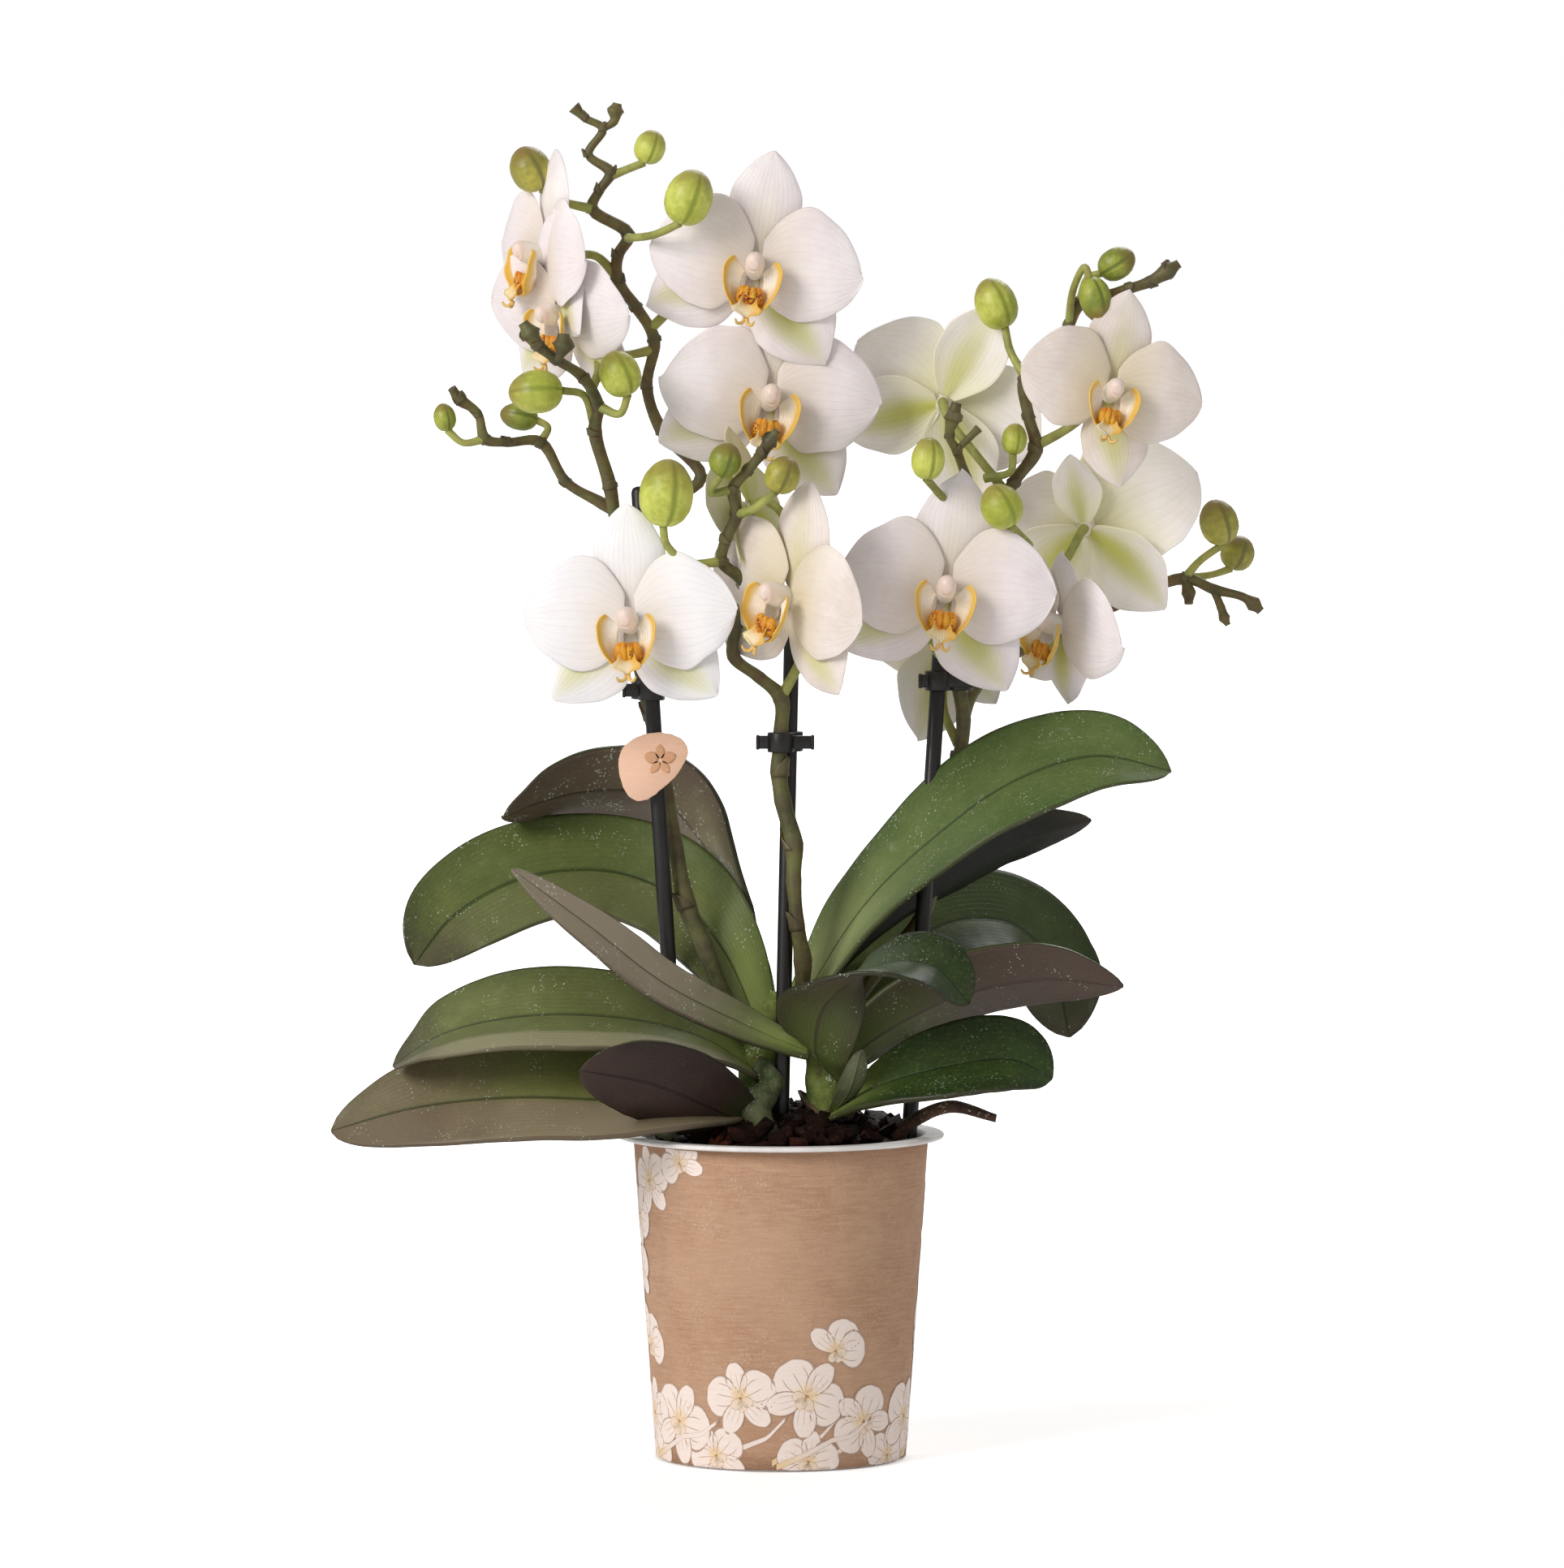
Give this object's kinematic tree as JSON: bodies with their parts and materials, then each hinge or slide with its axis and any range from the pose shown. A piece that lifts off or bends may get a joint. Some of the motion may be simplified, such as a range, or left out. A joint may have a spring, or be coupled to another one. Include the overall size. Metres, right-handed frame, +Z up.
{
  "type": "potted moth orchid",
  "caption": "White moth orchid in a paper-sleeved plastic pot, with arching leaves, flower spikes clipped to stakes, buds and open blooms.",
  "frame": {"origin": "centre of the pot's underside, on the surface it stands on", "axes": "+Z up, -Y towards the front where most blooms face, +X to the right seen from the front"},
  "size_m": [0.2579, 0.1179, 0.3733],
  "materials": {
    "white_plastic": "moulded white plastic",
    "sleeve_paper": "brown kraft paper with a light printed pattern",
    "bark_mix": "rough, moist bark chips",
    "black_plastic": "satin black plastic",
    "tag_card": "plain card",
    "root": "mottled, slightly rough skin",
    "stem_green": "waxy green with darker joints",
    "leaf_green": "waxy green above, purple-grey below",
    "petal_white": "soft white, yellow at the lip",
    "bud_green": "smooth yellow-green"
  },
  "bodies": {
    "root": {"bloom_centre": "petal_white", "bloom_far_right": "petal_white", "bloom_front_left": "petal_white", "bloom_left": "petal_white", "bloom_low_back": "petal_white", "bloom_low_right": "petal_white", "bloom_middle": "petal_white", "bloom_right": "petal_white", "bloom_right_back": "petal_white", "bloom_small_back": "petal_white", "bloom_top_centre": "petal_white", "bloom_top_left": "petal_white", "bloom_upper_right": "petal_white", "bud_centre_a": "bud_green", "bud_centre_b": "bud_green", "bud_centre_c": "bud_green", "bud_far_right_a": "bud_green", "bud_left_a": "bud_green", "bud_left_b": "bud_green", "bud_left_c": "bud_green", "bud_left_e": "bud_green", "bud_left_f": "bud_green", "bud_left_g": "bud_green", "bud_right_a": "bud_green", "bud_right_b": "bud_green", "bud_right_c": "bud_green", "bud_right_e": "bud_green", "bud_right_f": "bud_green", "clip_centre": "black_plastic", "clip_left": "black_plastic", "clip_right": "black_plastic", "crown_left": "root", "crown_right": "root", "leaf_front_short": "leaf_green", "leaf_left_back": "leaf_green", "leaf_left_low": "leaf_green", "leaf_left_middle": "leaf_green", "leaf_left_slim": "leaf_green", "leaf_left_upper": "leaf_green", "leaf_right_back": "leaf_green", "leaf_right_front": "leaf_green", "leaf_right_low": "leaf_green", "leaf_right_purple": "leaf_green", "leaf_right_second": "leaf_green", "leaf_right_upper": "leaf_green", "leaf_sprout": "leaf_green", "paper_sleeve": "sleeve_paper", "plant_tag": "tag_card", "pot_cup": "white_plastic", "potting_mix": "bark_mix", "root_front": "root", "root_left": "root", "root_right": "root", "spike_centre": "stem_green", "spike_left": "stem_green", "spike_right": "stem_green", "stake_centre": "black_plastic", "stake_left": "black_plastic", "stake_right": "black_plastic"}
  },
  "joints": []
}
